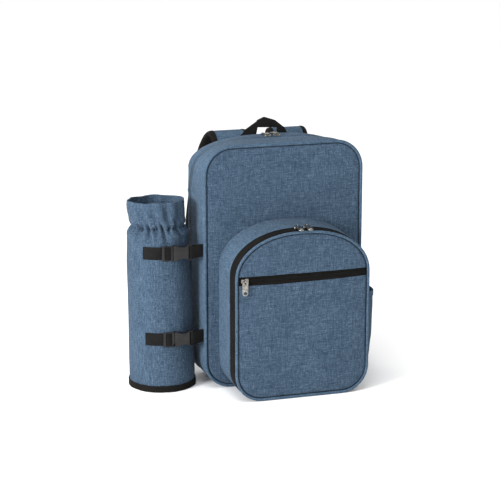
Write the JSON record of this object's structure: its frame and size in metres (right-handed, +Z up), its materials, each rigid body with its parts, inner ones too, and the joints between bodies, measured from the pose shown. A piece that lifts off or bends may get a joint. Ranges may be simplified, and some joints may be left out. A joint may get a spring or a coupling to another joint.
{
  "type": "cooler backpack",
  "caption": "Insulated backpack of foam-backed cloth: boxy main compartment, arched zipped front pocket, buckled bottle sleeve, side pocket, webbing carry handle and padded shoulder straps.",
  "frame": {"origin": "middle of the main body's base, on the surface that the bag stands on", "axes": "+Z up, +Y towards the wearer's back, +X towards the side pocket, away from the bottle sleeve"},
  "size_m": [0.428, 0.2841, 0.4325],
  "materials": {
    "dark_cloth": "two-tone slate blue woven polyester, mottled",
    "blue_cloth": "two-tone blue woven polyester, mottled",
    "black_tape": "matt black zip tape and binding",
    "black_webbing": "black ribbed polyester webbing",
    "black_plastic": "black moulded plastic with a soft shine",
    "nickel": "nickel-plated zinc, slightly dulled"
  },
  "bodies": {
    "bag": {"main_front_panel": "dark_cloth", "main_front_piping": "blue_cloth", "main_front_gusset": "blue_cloth", "main_zip_tape": "black_tape", "main_rear_gusset": "blue_cloth", "main_back_panel": "black_tape", "pocket_gusset": "blue_cloth", "pocket_zip_tape": "black_tape", "pocket_piping": "blue_cloth", "pocket_upper_panel": "dark_cloth", "pocket_lower_panel": "dark_cloth", "front_zip_tape": "black_tape", "bottle_sleeve": "blue_cloth", "sleeve_base": "blue_cloth", "sleeve_binding": "black_tape", "upper_sleeve_tab": "black_webbing", "upper_buckle_plug": "black_plastic", "upper_buckle_socket": "black_plastic", "upper_bag_webbing": "black_webbing", "lower_sleeve_tab": "black_webbing", "lower_buckle_plug": "black_plastic", "lower_buckle_socket": "black_plastic", "lower_bag_webbing": "black_webbing", "side_pocket": "blue_cloth", "side_pocket_hem": "blue_cloth", "carry_handle": "black_webbing", "left_strap_pad": "blue_cloth", "left_strap_binding": "black_tape", "left_strap_loop": "black_webbing", "left_strap_adjuster": "black_plastic", "left_strap_webbing": "black_webbing", "right_strap_pad": "blue_cloth", "right_strap_binding": "black_tape", "right_strap_loop": "black_webbing", "right_strap_adjuster": "black_plastic", "right_strap_webbing": "black_webbing", "front_zip_slider": "nickel", "pocket_zip_left_slider": "nickel", "pocket_zip_right_slider": "nickel", "main_zip_left_slider": "nickel", "main_zip_right_slider": "nickel"},
    "front_zip_pull": {"front_zip_tab": "nickel"},
    "pocket_zip_left_pull": {"pocket_zip_left_tab": "nickel"},
    "pocket_zip_right_pull": {"pocket_zip_right_tab": "nickel"},
    "main_zip_left_pull": {"main_zip_left_tab": "nickel"},
    "main_zip_right_pull": {"main_zip_right_tab": "nickel"}
  },
  "joints": [
    {"name": "front_zip_pull_hinge", "type": "hinge", "parent": "bag", "child": "front_zip_pull", "pos_m": [-0.095, -0.1444, 0.2045], "axis": [-1, 0, 0], "range_deg": [0, 170]},
    {"name": "pocket_zip_left_pull_hinge", "type": "hinge", "parent": "bag", "child": "pocket_zip_left_pull", "pos_m": [-0.00075, -0.1233, 0.28446], "axis": [-1, 0, 0], "range_deg": [0, 170]},
    {"name": "pocket_zip_right_pull_hinge", "type": "hinge", "parent": "bag", "child": "pocket_zip_right_pull", "pos_m": [0.01475, -0.1233, 0.28446], "axis": [-1, 0, 0], "range_deg": [0, 170]},
    {"name": "main_zip_left_pull_hinge", "type": "hinge", "parent": "bag", "child": "main_zip_left_pull", "pos_m": [-0.00875, 0.0075, 0.4124], "axis": [1, 0, 0], "range_deg": [0, 170]},
    {"name": "main_zip_right_pull_hinge", "type": "hinge", "parent": "bag", "child": "main_zip_right_pull", "pos_m": [0.00675, 0.0075, 0.4124], "axis": [1, 0, 0], "range_deg": [0, 170]}
  ]
}
